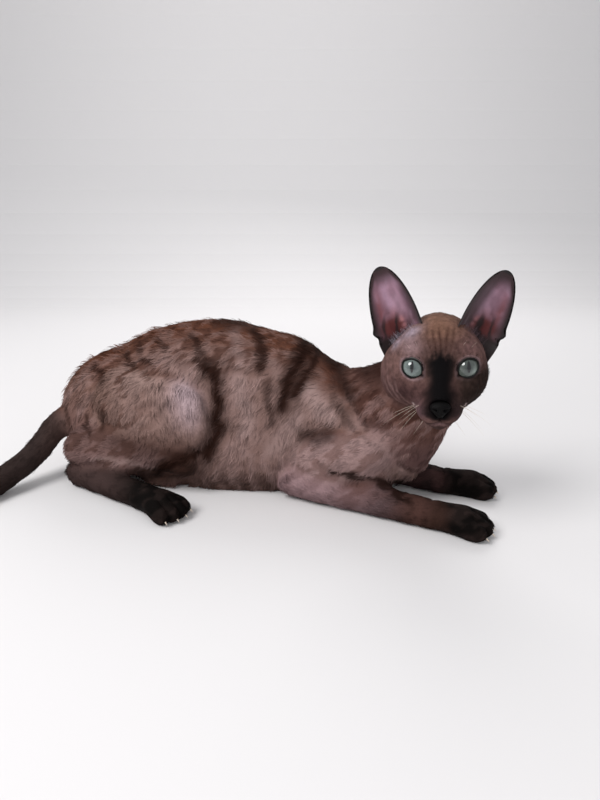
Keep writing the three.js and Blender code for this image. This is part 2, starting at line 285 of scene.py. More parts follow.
def seen_from(centre, points, rounds=12):
    centre = np.array(centre, float)
    line = np.array(points, float) - centre
    line /= length_of(line)
    t = np.linspace(0, len(line) - 1, rounds * (len(line) - 1) + 1)
    i = np.minimum(t.astype(int), len(line) - 2)
    way = line[i] + (line[i + 1] - line[i]) * (t - i)[:, None]
    return way / length_of(way)


def beside(f, centre, way):
    rel = f - centre
    far = length_of(rel)
    nearest = np.clip((rel / far) @ way.T, -1, 1).max(1)
    return far[:, 0] * np.arccos(nearest)


def face_marks(f):
    lip = [(25, 0, -34), (22, 7.5, -36), (13, 14, -35), (5, 19, -32), (-1, 24, -28)]
    mirrored = [(x, -y, z) for x, y, z in lip]
    jaw = (0, 0, -22)
    mouth = np.minimum(beside(f, jaw, seen_from(jaw, lip)), beside(f, jaw, seen_from(jaw, mirrored)))
    split = beside(f, (8, 0, -24), seen_from((8, 0, -24), [(30, 0, -26), (28, 0, -30), (25, 0, -34.5)]))
    return mouth, split


def furrows(f):
    fan = 1 + 0.035 * np.clip(f[:, 2] - 10, 0, 20)
    wander = np.array([noise.noise(Vector(p)) for p in f * (0.06, 0.11, 0.05)])
    lines = 0.5 - 0.5 * np.cos(f[:, 1] / fan * 1.95 + 2.8 * wander)
    where = (
        ramp(f[:, 2], 8, 15) * ramp(31 - f[:, 2], 0, 8) * hump(f[:, 1] / fan, 0, 8.5) * (f[:, 0] > -24)
    )
    return where * (1 - lines) ** 2


f = face_mm(place)
close = length_of(f - (2, 0, -8))[:, 0] < 46
g = f[close]
for side in sides.values():
    lid, far, up = across_eye(g, side)
    ball = np.array((0, 18.5 * side, 0))
    edge = 10.8 + 0.6 * ramp(up, -2, 4)
    aim = np.where(lid < 0.98, 8.6, edge)
    share = 1 - ramp(lid, 1.12, 1.8)
    crease = (
        -0.55 * hump(lid, 1.6, 0.13) * ramp(up, -3, 2) - 0.3 * hump(lid, 1.5, 0.12) * ramp(-up, 0, 4)
    )
    new = far + (aim - far) * share + crease
    g = np.where((lid < 2.2)[:, None], ball + (g - ball) / far[:, None] * new[:, None], g)
mouth, split = face_marks(g)
sunk = 1.3 * hump(mouth, 0, 0.75) - 0.35 * hump(mouth, 2.1, 1.1)
g -= (g - (0, 0, -22)) / length_of(g - (0, 0, -22)) * sunk[:, None]
g -= (g - (8, 0, -24)) / length_of(g - (8, 0, -24)) * (0.9 * hump(split, 0, 0.7))[:, None]
seat = length_of((g - (25.5, 0, -22)) / (6.5, 7.4, 6.2))[:, 0]
g -= (g - (12, 0, -18)) / length_of(g - (12, 0, -18)) * (1.6 * np.exp(-(seat**6)))[:, None]
g[:, 2] -= 0.65 * furrows(g) + 2.4 * hump(g[:, 1], 0, 9) * ramp(-g[:, 2], 29, 37) * ramp(g[:, 0], -2, 8)
f[close] = g
place = on_face(f)
b = body_mm(place)
cleft = np.zeros(len(b))
for name in toe_tips:
    ahead, aside = at_toes(b, name)
    for k in (-1, 0, 1):
        line = k * (8.2 + 0.1 * (ahead + 14))
        cleft += hump(aside, line, 1.1) * ramp(ahead, -21, -10) * (np.abs(aside) < 20) * (ahead < 8)
reshape(hide.data, place)
reshape(hide.data, place - normals(hide.data) * (0.0016 * cleft * ramp(b[:, 2], 1, 4))[:, None])
hide.data.polygons.foreach_set("use_smooth", np.ones(len(hide.data.polygons), bool))
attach(hide, "root")
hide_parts(*flesh)

# Markings. The seal-brown coat of the young cat: pale lilac-brown on
# haunch and shoulder, rippled darker along the back, and near black on the
# mask, the legs below the joints and the tail. Laid with them are a painted
# highlight on the haunch and painted shade: in the creases of thigh and arm,
# under the thigh, along the belly and near the floor, in the waves of the back,
# in the forehead furrows and over the cat's left half of the face. Skin and
# coat share them.
place, pairs = read(hide.data)
outward = normals(hide.data)
_, kind = over_solids(place)
b = body_mm(place)
f = face_mm(place)
share_of = relaxed((kind[:, None] == np.arange(len(kinds))).astype(float), pairs, 16)
part = {k: share_of[:, i] for i, k in enumerate(kinds)}
part["head"] = part["head"] + part["eye"] + part["nose"]


def tone(red, green, blue):
    c = np.array((red, green, blue)) / 255
    return np.where(c < 0.04045, c / 12.92, ((c + 0.055) / 1.055) ** 2.4)


def laid(under, over, mask):
    return under + (over - under) * np.clip(mask, 0, 1)[:, None]


def layered(many, coats):
    colour = np.zeros((many, 3))
    for *shade, mask in coats:
        colour = laid(colour, tone(*shade), np.broadcast_to(mask, many))
    return colour


def clouds(points, size, seed, depth=2):
    scaled = points / size + seed * 7.3
    return np.array([noise.fractal(Vector(p), 0.6, 2.0, depth) for p in scaled])


hair_line = np.array((-0.72, 0.2, -0.66))
streaked = b - 0.6 * hair_line * (b @ hair_line)[:, None]
ripple = np.clip(2.6 * clouds(streaked, 9, 1) + 0.5 * clouds(streaked, 3.6, 2), -1, 1)
broad = np.clip(2.2 * clouds(streaked, 19, 3), -1, 1)
on_top = ramp(outward[:, 2], 0.3, 0.95)
x, y, z = b.T


def stroke(line, half):
    line = np.array(line, float).reshape(-1, 2)
    at = np.c_[x + 2.2 * broad, z + 1.6 * ripple]
    far = np.full(len(at), 99.0)
    for start, end in zip(line[:-1], line[1:]):
        run = end - start
        t = np.clip((at - start) @ run / (run @ run), 0, 1)
        far = np.minimum(far, length_of(at - start - t[:, None] * run)[:, 0])
    return np.exp(-((far / half) ** 2.6))


# The coats of colour of each part of the body, from the lowest up: red, green, blue, and where each lies.
combed = np.sin(x / 2.3 + 1.6 * broad + 0.05 * z) * ramp(58 - z, 0, 20)
trunk = layered(len(b), [
    (124, 99, 93, 1),
    (114, 87, 79, ramp(-x, 100, 150)),
    (84, 46, 28, 0.9 * on_top),
    (142, 116, 111, 0.5 * ramp(broad, 0.0, 0.8) * (1 - on_top) + 0.3 * ramp(ripple, 0.15, 0.8)),
    (70, 43, 35, 0.85 * ramp(x, 8, 34) * ramp(z - 0.5 * x, 74, 92)),
    (142, 117, 113, 0.6 * np.maximum(combed, 0) * ramp(x, -75, -50)),
    # Painted shade: the lower flank darkens towards the floor along the belly's edge, most between the pale
    # combed locks.
    (64, 45, 39, 0.75 * ramp(30 - z, 0, 22) * (0.65 - 0.35 * combed)),
    (110, 84, 80, 0.6 * hump(x, -205, 18) * hump(z, 52, 20)),
])
throat = layered(len(b), [
    (104, 75, 68, 1),
    (94, 70, 68, ramp(80 - z, 0, 30)),
    (134, 106, 102, 0.7 * ramp(ripple, 0.1, 0.7) * ramp(112 - z, 0, 20)),
    (128, 102, 99, hump(x, 60, 12) * hump(z, 74, 12)),
    (60, 36, 30, 0.75 * ramp(-ripple, 0.05, 0.7) * ramp(z, 60, 84)),
    (40, 22, 18, 0.9 * hump(z, 120, 15) * ramp(x, 34, 54) * ramp(100 - x, 0, 20)),
])
haunch = layered(len(b), [
    (136, 110, 103, 1),
    (112, 87, 79, ramp(-x, 140, 180)),
    # Painted highlight: the pale lilac spot high on the haunch, over the thigh's own pale coat.
    (172, 150, 154, hump(x, -95, 16) * hump(z, 94, 18) + 0.4 * hump(x, -93, 12) * hump(z, 72, 12)),
    (150, 125, 118, 0.6 * hump(x, -138, 20) * hump(z, 104, 12)),
    (98, 73, 66, 0.75 * ramp(68 - z, 0, 24) * ramp(-x, 84, 104)),
    (86, 60, 52, 0.7 * ramp(-ripple, 0.2, 0.8) * ramp(-x, 112, 160)),
])
shoulder = layered(len(b), [
    (146, 120, 117, 1),
    (104, 78, 73, 0.6 * ramp(-ripple, 0.1, 0.9)),
    (80, 54, 47, 0.75 * ramp(z - 0.1 * x, 62, 76) * ramp(52 - x, 0, 24)),
    (56, 39, 35, ramp(38 - z, 0, 12) * ramp(x, 20, 45)),
])
along = np.clip((x + 8) / 112, 0, 1)
near_arm = layered(len(b), [
    (140, 114, 116, 1),
    (48, 36, 36, ramp(along, 0.25, 0.9)),
    (84, 60, 58, 0.35 * ramp(-broad, 0.1, 0.8) + 0.3 * ramp(-ripple, 0.1, 0.8)),
    (86, 57, 48, 0.75 * hump(x, 45, 15) * hump(z, 29, 8)),
    (74, 50, 43, 0.7 * hump(x, 92, 20) * (y < -30)),
])
paw = layered(len(b), [
    (13, 10, 9, 1),
    (40, 31, 29, 0.5 * ramp(broad, 0.2, 1) + 0.5 * ramp(ripple, 0.1, 0.9)),
])
wrist = ramp(120 - x + 3 * ripple, 0, 20) * (y < -40) * (x > 0)
forefoot = laid(paw, tone(58, 39, 33), 0.85 * wrist)
foot = layered(len(b), [
    (62, 48, 46, 1),
    (24, 19, 17, ramp(x, -178, -128)),
])
shank = layered(len(b), [
    (104, 80, 76, 1),
    (124, 99, 96, 0.6 * ramp(z, 24, 30) * ramp(40 - z, 0, 6)),
    (54, 38, 33, ramp(x - 0.9 * (z - 30), -135, -112)),
    (70, 48, 42, 0.7 * ramp(-ripple, 0.1, 0.8)),
])
tail = layered(len(b), [
    (92, 71, 66, 1),
    (50, 40, 38, ramp(-x, 205, 245)),
])

# Each mark of trunk and haunch: half its width, its strength, and the line it follows, along and up.
pale_marks = [
    (5.5, 0.5, -57, 139, -50, 118), (6.5, 0.75, -50, 102, -45, 60), (8, 0.95, 8, 96, 22, 80),
    (2.2, 0.6, -184, 33, -150, 31, -122, 27), (7.5, 0.7, -1, 76, -24, 46),
    (7, 0.4, -112, 112, -96, 108), (5, 0.4, -26, 118, -20, 108),
]
# The dark marks of the coat, and two of painted shade: the line down the thigh's front from (-77, 113), in
# the crease before the thigh, and the stroke from (-123, 22), in the pocket between thigh and hind foot.
dark_marks_and_crease_shade = [
    (8.5, 1, 8, 134, -4, 118, -10, 102, -15, 84), (6, 1, 16, 126, 5, 108, -3, 94),
    (5, 0.9, -41, 144, -32, 122, -35, 114), (5, 0.8, -76, 148, -50, 146),
    (3.2, 0.8, -91, 131, -83, 124), (3.2, 0.8, -97, 137, -91, 134), (3, 0.8, -126, 131, -117, 127),
    (3, 0.8, -146, 126, -140, 122), (3.6, 0.85, -157, 118, -147, 110),
    (2.6, 0.8, -139, 116, -128, 114), (3.4, 0.8, -190, 106, -175, 99), (3, 0.7, -185, 115, -174, 121),
    (3.5, 0.8, -220, 64, -217, 52), (3.2, 0.8, -194, 62, -187, 51), (3.2, 0.7, -173, 72, -175, 55),
    (4, 0.85, -88, 119, -72, 109), (8.2, 1, -77, 113, -71, 98, -70, 82, -72, 60, -83, 38),
    (4, 0.6, -27, 103, -30, 90), (4.2, 0.65, -28, 84, -23, 71), (7, 0.8, 30, 118, 40, 100),
    (6, 0.85, 22, 124, 28, 117), (5, 0.5, 30, 90, 39, 76), (7.5, 0.8, 3, 61, 22, 66),
    (9, 0.5, -158, 48, -137, 44, -112, 40), (6, 1, -123, 22, -116, 30, -91, 40),
    (3, 0.35, -110, 88, -120, 74), (3, 0.5, -60, 120, -64, 100),
]

fx, fy, fz = f.T
lid = np.minimum(*(across_eye(f, side)[0] for side in sides.values()))
mouth, split = face_marks(f)
folds = np.hypot(fy, fz) + 0.8 * ripple
folds = hump(folds, 41.5, 1.3) + hump(folds, 37.6, 1.1) + 0.7 * hump(folds, 34.2, 0.9)
half_mask = 9.0 + 2.2 * hump(fz, 7, 6) + 2.4 * ramp(-fz, 3, 14) + 1.6 * hump(fz, -26, 7) + 1.2 * ripple
half_mask -= 6.5 * ramp(-fz, 25, 33)
below_brow = 17.5 - fz - 0.35 * np.abs(fy) + 3 * clouds(f * (1, 1, 0.35), 2.6, 8)
bridge = np.exp(-((np.abs(fy) / half_mask) ** 5)) * ramp(below_brow, 0, 9)
bridge *= ramp(fz, -34, -30) * ramp(fx, -14, -6)
tears = []
for side in sides.values():
    local = (f - (0, 18.5 * side, 0)) @ gaze(side)
    tear = np.hypot(local[:, 1] + 8.7 * side, local[:, 2])
    tears.append((9, 7, 7, hump(tear, 0, 1.3) * (local[:, 0] > 0)))
rows = [(17.0 - 1.8 * i - 0.6 * j, 9.5 + 3.0 * i, -24.0 - 3.0 * j) for j in range(3) for i in range(4)]
dots = []
for dot in rows:
    for side in sides.values():
        near = length_of((f - (dot[0], dot[1] * side, dot[2])) * (0.45, 1, 1))[:, 0]
        dots.append((190, 168, 166, hump(near, 0, 0.95) * (fx > 5)))
ear_foot = (
    hump(length_of(f - (-14, -21, 24))[:, 0], 0, 7)
    + 0.9 * hump(length_of(f - (-12, -32, 15))[:, 0], 0, 4.5)
)
mottle = clouds(f * (1, 1, 0.6), 2.4, 12) + 0.7 * clouds(f, 5.5, 13)
skull = layered(len(b), [
    (100, 75, 71, 1),
    (116, 85, 71, ramp(fz, 14, 26) * hump(fy, 0, 20)),
    # The pale brow is painted lighter over the cat's right eye than over its left: painted light on the lit
    # side of the face.
    (144, 118, 120, 0.85 * hump(fy, -20, 8) * hump(fz, 16, 6.5)),
    (104, 77, 76, 0.8 * hump(fy, 20, 8) * hump(fz, 15, 6)),
    # Painted shade in the forehead furrows, which are also sunk into the hide.
    (66, 43, 36, 0.85 * furrows(f)),
    (84, 60, 58, 0.85 * hump(fz, -14, 11) * ramp(fx, -24, -6)),
    (56, 39, 39, 0.85 * hump(np.abs(fy), 26, 12) * hump(fz, -16.5, 7.5) * (fx > -26)),
    (132, 108, 110, 0.8 * hump(lid, 1.24, 0.12) * (fx > -8)),
    (128, 101, 98, 0.6 * folds * hump(fz, -18, 12) * (np.abs(fy) > 20) * (fy < 0)),
    (98, 75, 79, 0.8 * hump(np.abs(fy), 14, 5) * hump(fz, -26, 6) * ramp(fx, 4, 12)),
    (58, 43, 41, 0.85 * hump(fy, 0, 14) * ramp(-fz, 32, 37)),
    # Painted shade: the cat's left half of the face, below the brow, darkened as it lies away from the
    # light.
    (36, 28, 24, 0.9 * ramp(fy, 4, 18) * ramp(8 - fz, 0, 14)),
    (60, 40, 35, 0.55 * hump(fy, 0, 17) * hump(fz, 16, 8) * (fx > -20)),
    (52, 38, 34, 0.7 * np.exp(-((np.abs(fy) / 16) ** 4)) * hump(fz, 4, 13) * ramp(fx, -14, -4)),
    (13, 11, 12, bridge),
    (9, 7, 7, ramp(1.06 - lid, 0, 0.05)),
    *tears,
    (20, 13, 13, hump(mouth, 0, 1.0) * (fz < -26) + hump(split, 0, 0.9) * (fz < -24) * (fx > 10)),
    (140, 110, 110, 0.6 * hump(mouth, 2.1, 0.9) * hump(fy, 0, 6) * (fz < -34)),
    *dots,
    (178, 162, 174, 0.7 * ear_foot),
    (72, 48, 41, 0.65 * ramp(-ripple, 0.1, 0.7) * ramp(-fx, 18, 34)),
    (66, 43, 36, 0.5 * hump(fy, 0, 9) * ramp(-fx, 24, 40)),
])
skull = skull * (1 + 0.32 * np.clip(mottle, -1, 1) * (1 - 0.8 * np.clip(bridge, 0, 1)))[:, None]
layers = {"torso": trunk, "neck": throat, "thigh": haunch, "shank": shank, "upper_arm": shoulder}
layers |= {
    "forearm": near_arm, "forepaw": forefoot, "hindfoot": foot, "hindpaw": paw, "tail": tail,
    "head": skull
}
markings_and_shade = sum(layers[k] * part[k][:, None] for k in layers)
on_body = part["torso"] + part["neck"] + part["thigh"] + part["shank"] + part["upper_arm"]
# Dark dashes along the back in the troughs of the coat's waves: darker hair there together with painted
# shade of the waves.
wave_dashes_and_shade = ramp(-ripple, 0.15, 0.6) * (0.12 + 0.75 * ramp(z - 0.12 * x, 108, 128))
markings_and_shade = laid(markings_and_shade, tone(70, 45, 37), 0.85 * wave_dashes_and_shade * on_body)
for half, strength, *line in pale_marks:
    markings_and_shade = laid(markings_and_shade, tone(150, 126, 122), 0.8 * strength * stroke(line, half) * on_body)
for half, strength, *line in dark_marks_and_crease_shade:
    markings_and_shade = laid(markings_and_shade, tone(37, 21, 16), strength * stroke(line, half) * on_body)
# Painted shade in the crease where the near forearm lies tucked against the upper arm and chest.
arm_crease_shade = stroke([24, 37, 40, 36, 57, 33, 71, 27, 88, 20], 2.6) * ramp(-y, 8, 20)
markings_and_shade = laid(markings_and_shade, tone(30, 17, 13), 0.95 * arm_crease_shade * (1 - part["head"] - part["forepaw"]))
# Painted shade near the floor: every part darkens a little within about 12 mm of it.
markings_and_shade = laid(markings_and_shade, markings_and_shade * 0.75, 0.7 * hump(z, 0, 12))


def paint(mesh, colours, name="markings_and_shade"):
    layer = mesh.color_attributes.new(name, "FLOAT_COLOR", "POINT")
    layer.data.foreach_set("color", np.c_[colours, np.ones(len(colours))].astype(np.float32).ravel())


paint(hide.data, markings_and_shade)


class Wire:
    """A socket of a material, which adds its Math nodes when it is reckoned with as a number."""

    def __init__(self, tree, socket=None):
        self.tree = tree
        self.socket = socket

    def make(self, kind, settings, sockets, output=0):
        made = self.tree.nodes.new(kind)
        for key, value in settings.items():
            if key == "stops":
                for i, (where, shade) in enumerate(value):
                    stop = made.color_ramp.elements[i] if i < 2 else made.color_ramp.elements.new(where)
                    stop.position = where
                    stop.color = (*shade, 1)
            else:
                setattr(made, key, value)
        for key, value in sockets.items():
            if isinstance(value, Wire):
                self.tree.links.new(value.socket, made.inputs[key])
            else:
                made.inputs[key].default_value = value
        return Wire(self.tree, made.outputs[output])

    def reckon(self, operation, first, second=0.0):
        return self.make("ShaderNodeMath", {"operation": operation}, {0: first, 1: second})

    def __add__(self, other):
        return self.reckon("ADD", self, other)

    def __sub__(self, other):
        return self.reckon("SUBTRACT", self, other)

    def __rsub__(self, other):
        return self.reckon("SUBTRACT", other, self)

    def __mul__(self, other):
        return self.reckon("MULTIPLY", self, other)

    def __truediv__(self, other):
        return self.reckon("DIVIDE", self, other)

    def __pow__(self, other):
        return self.reckon("POWER", self, other)

    __radd__ = __add__
    __rmul__ = __mul__

    def clipped(self, low, high):
        return self.make("ShaderNodeMapRange", {}, {0: self, 1: low, 2: high})

    def tinted(self, shade, mask):
        return self.make("ShaderNodeMix", {"data_type": "RGBA"}, {0: mask, 6: self, 7: shade}, 2)

    def shaded(self, *stops):
        return self.make("ShaderNodeValToRGB", {"stops": stops}, {0: self})

    def bumps(self, strength, distance):
        return self.make(
            "ShaderNodeBump", {}, {"Strength": strength, "Distance": distance, "Height": self}
        )

    def times(self, mask):
        grey = self.make("ShaderNodeCombineColor", {}, {0: mask, 1: mask, 2: mask})
        return self.make("ShaderNodeVectorMath", {"operation": "MULTIPLY"}, {0: self, 1: grey})


def finish(name, **constants):
    made = bpy.data.materials.new(name)
    made.use_nodes = True
    tree = made.node_tree
    shader = tree.nodes["Principled BSDF"]
    for key, value in constants.items():
        shader.inputs[key.replace("_", " ")].default_value = value
    wire = Wire(tree)
    here = wire.make("ShaderNodeTexCoord", {}, {}, "Object")

    def feed(socket, value):
        tree.links.new(value.socket, shader.inputs[socket])

    return made, wire, here, feed


def grain(wire, here, scale, detail=3.0, rough=0.6):
    sockets = {"Vector": here, "Scale": scale, "Detail": detail, "Roughness": rough}
    return wire.make("ShaderNodeTexNoise", {}, sockets)


def painted(wire):
    return wire.make("ShaderNodeAttribute", {"attribute_name": "markings_and_shade"}, {}, "Color")


# The hide's own finish: velvet down so short that it shows as a grain in its colour, roughness and bumps.
down, wire, here, feed = finish("down", Specular_IOR_Level=0.03)
shade = painted(wire)
fuzz = grain(wire, here, 900)
feed("Base Color", shade.times(0.7 + 0.55 * fuzz))
feed("Roughness", 0.62 + 0.25 * fuzz)
feed("Normal", grain(wire, here, 1500, 2).bumps(0.5, 0.0006))
hide.data.materials.clear()
hide.data.materials.append(down)

# Eyes. Large pale grey-green eyes, each a wet ball with a raised cornea, fine spokes in the iris round an
# upright slit, and a black rim of bare skin where the lids close on it.
glass, wire, here, feed = finish("eye", Roughness=0.07, Coat_Weight=1.0, Coat_Roughness=0.02, IOR=1.38)
where = wire.make("ShaderNodeUVMap", {"uv_map": "pupil"}, {})
sideways = (wire.make("ShaderNodeSeparateXYZ", {}, {0: where}, "X") - 0.5) * 24
upright = (wire.make("ShaderNodeSeparateXYZ", {}, {0: where}, "Y") - 0.5) * 24
outwards = (sideways * sideways + upright * upright) ** 0.5
spoke = wire.reckon("ARCTAN2", sideways, upright)
fan = wire.make("ShaderNodeCombineXYZ", {}, {0: spoke * 7.0, 1: outwards * 0.35})
fibre = grain(wire, fan, 1.6, 4.0, 0.65)
rings = [(0.0, tone(48, 54, 54)), (0.3, tone(92, 101, 101)), (0.66, tone(120, 131, 129))]
rings += [(0.86, tone(138, 148, 142)), (0.95, tone(56, 61, 62)), (1.0, tone(12, 12, 13))]
iris = (outwards / 8.7).shaded(*rings)
# Fibres vary the iris, and it is painted darker towards its top as shade of the upper lid.
iris = iris.times((0.5 + 0.9 * fibre) * (upright * -0.05 + 0.9))
iris = wire.make("ShaderNodeVectorMath", {"operation": "MULTIPLY"}, {0: iris, 1: painted(wire)})
slit = ((sideways / 1.15) ** 2 + ((upright - 0.9) / 4.2) ** 2).clipped(1.2, 0.8)
feed("Base Color", iris.tinted((0.004, 0.004, 0.005, 1), slit))

wet_skin, wire, here, feed = finish("lid_rim", Roughness=0.5, Specular_IOR_Level=0.2)
feed("Base Color", grain(wire, here, 500).shaded((0.2, tone(5, 4, 4)), (0.8, tone(18, 12, 12))))


def formed(shape, name):
    bmesh.ops.recalc_face_normals(shape, faces=shape.faces)
    mesh = bpy.data.meshes.new(name)
    shape.to_mesh(mesh)
    shape.free()
    mesh.polygons.foreach_set("use_smooth", np.ones(len(mesh.polygons), bool))
    return mesh


def swept(line):
    drawn = linked(line.name, line)
    mesh = bpy.data.meshes.new_from_object(drawn.evaluated_get(bpy.context.evaluated_depsgraph_get()))
    bpy.data.objects.remove(drawn)
    mesh.name = line.name
    return mesh


def dressed(mesh, material):
    mesh.materials.clear()
    mesh.materials.append(material)
    return linked(mesh.name, mesh)


for name, side in sides.items():
    ball = bmesh.new()
    bmesh.ops.create_uvsphere(ball, u_segments=72, v_segments=54, radius=eye_radius)
    points = np.array([v.co[:] for v in ball.verts])[:, [2, 0, 1]]
    points *= 1 + 0.055 * ramp(points[:, 0] / eye_radius, 0.7, 1.0)[:, None]
    placed = on_face(points @ gaze(side).T + (0, 18.5 * side, 0))
    upright_slit = np.array(about("X", lid_tilt * side))
    seen = points @ upright_slit.T
    layer = ball.loops.layers.uv.new("pupil")
    for v, p in zip(ball.verts, placed):
        v.co = p
    for face in ball.faces:
        for loop in face.loops:
            loop[layer].uv = seen[loop.vert.index, 1:] / 24 + 0.5
    made = formed(ball, "eye_" + name + "_wet")
    # The cat's left iris is painted darker, as in shade, with a painted highlight crescent low beside the
    # pupil; the right iris stays plain.
    off_gleam = length_of(seen[:, 1:] - (4.6, -2.2))[:, 0]
    iris_shade_and_gleam = 0.46 + 0.9 * hump(off_gleam, 0, 3.2) if side > 0 else np.ones(len(seen))
    paint(made, iris_shade_and_gleam[:, None] * ((1.0, 0.97, 0.9) if side > 0 else (1.0, 1.0, 0.98)))
    eye = dressed(made, glass)
    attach(eye, "root")
    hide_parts("eye_" + name)

    line = bpy.data.curves.new("lid_rim_" + name, "CURVE")
    line.dimensions = "3D"
    line.bevel_depth = 0.00065
    line.bevel_resolution = 3
    path = line.splines.new("POLY")
    turns = np.linspace(0, 2 * np.pi, 73)[:-1]
    path.points.add(len(turns) - 1)
    pinch = 1 - lid_pinch * np.abs(np.cos(turns)) ** 4
    rim = np.c_[np.zeros(72), lid_half[0] * np.cos(turns), lid_half[1] * pinch * np.sin(turns)]
    rim[:, 0] = np.sqrt(10.7**2 - rim[:, 1] ** 2 - rim[:, 2] ** 2)
    rim = on_face(rim @ gaze(side).T + (0, 18.5 * side, 0))
    path.points.foreach_set("co", np.c_[rim, np.ones(72)].ravel())
    path.use_cyclic_u = True
    lid_rim = dressed(swept(line), wet_skin)
    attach(lid_rim, "root")

# Nose. A small wedge of black leather, pebbled and faintly damp, with a comma-shaped
# nostril on each side and a crease down its middle that runs on into the split of the lip.
leather, wire, here, feed = finish("nose_leather", Specular_IOR_Level=0.1)
pebble = wire.make("ShaderNodeTexVoronoi", {"feature": "F1"}, {"Vector": here, "Scale": 1900.0})
feed("Base Color", pebble.shaded((0.1, tone(9, 7, 8)), (0.8, tone(4, 3, 3))))
feed("Roughness", 0.46 + 0.3 * pebble)
feed("Normal", (1.0 - pebble).bumps(0.4, 0.0003))
wedge = bmesh.new()
bmesh.ops.create_icosphere(wedge, subdivisions=5, radius=1)
way = np.array([v.co[:] for v in wedge.verts])


def nose_form(p):
    def egg(centre, radii):
        q = (p - centre) / radii
        near = length_of(q)
        return (near * (near - 1) / length_of(q / radii))[:, 0]

    d, e = egg((25.8, 0, -21), (4.6, 7.2, 4.2)), egg((25.3, 0, -24.6), (4.2, 3.6, 4.4))
    h = np.maximum(3 - np.abs(d - e), 0) / 3
    return np.minimum(d, e) - h * h * 0.75


inner, outer = np.zeros(len(way)), np.full(len(way), 12.0)
for _ in range(24):
    half = (inner + outer) / 2
    within = nose_form((25.2, 0, -22.3) + way * half[:, None]) < 0
    inner, outer = np.where(within, half, inner), np.where(within, outer, half)
p = (25.2, 0, -22.3) + way * inner[:, None]
depth = 0.5 * hump(p[:, 1], 0, 0.55) * ramp(-21 - p[:, 2], 0, 3) * (way[:, 0] > 0)
for side in sides.values():
    hole = length_of((p - (28.6, 3.9 * side, -22.0)) / (3.5, 1.7, 1.25))[:, 0]
    tail_of_hole = length_of((p - (27.4, 5.7 * side, -21.6)) / (3.0, 1.7, 0.7))[:, 0]
    depth += 2.6 * np.exp(-(hole**4)) + 1.3 * np.exp(-(tail_of_hole**4))
p -= way * depth[:, None] * (way[:, 0:1] > -0.2)
for v, q in zip(wedge.verts, on_face(p)):
    v.co = q
nose = dressed(formed(wedge, "nose_leather"), leather)
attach(nose, "root")
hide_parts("nose")

# Ears. Tall cupped ears of thin gristle and skin, bare and rosy inside with folds at the bottom
# of the cup, dark at the rim and outside, and with a small pocket low on the outer edge.
ear_skin, wire, here, feed = finish("ear_skin", Specular_IOR_Level=0.3, Sheen_Weight=0.15)
shade = painted(wire)
veins = grain(wire, here, 160, 4.0)
feed("Base Color", shade.times(0.72 + 0.56 * veins))
feed("Roughness", 0.45 + 0.3 * veins)
feed("Normal", grain(wire, here, 700).bumps(0.35, 0.0005))
ear_cut = {"left": (54.5, 40.5, 23, 30), "right": (58.5, 37.5, 18, 16)}


def ear_place(side, cut, t, turned, out=0.0):
    long, wide, lean, twist = cut
    end = np.clip((t - 0.2) / 0.8, -1, 1)
    rounded = np.sqrt(np.maximum(0, 1 - np.abs(end) ** 1.8))
    front = ramp(np.sin(turned), 0.0, 0.5)
    medial = -np.cos(turned)
    cup = 14 * rounded * np.maximum(0, 1 - 0.8 * t) * np.sin(turned) ** 2
    cup += 2.5 * hump(t, 0.08, 0.14) * hump(medial, 0.0, 0.5)
    cup -= (
        front * 1.5
        * (
            hump(medial, 0.62, 0.1) * hump(t, 0.16, 0.13)
            + hump(medial, 0.25, 0.07) * hump(t, 0.05, 0.1)
        )
    )
    cup -= front * 0.8 * hump(medial, -0.45, 0.1) * hump(t, 0.3, 0.25)
    pocket = 1 + 0.1 * hump(t, 0.2, 0.055) * ramp(-medial, 0.8, 1)
    pocket -= 0.07 * hump(t, 0.12, 0.04) * (medial < 0)
    thick = 1.2 * (0.75 + 0.25 * ramp(np.abs(medial), 0.9, 0.6))
    x = thick * rounded * np.sin(turned) - cup + out
    p = np.c_[x, side * 0.5 * wide * rounded * pocket * np.cos(turned), long * t]
    turn = about("Y", -14) @ about("X", -side * lean)
    turn = np.array(turn @ about("Z", side * twist))
    return on_face(p @ turn.T + (-20, side * 27, 14))


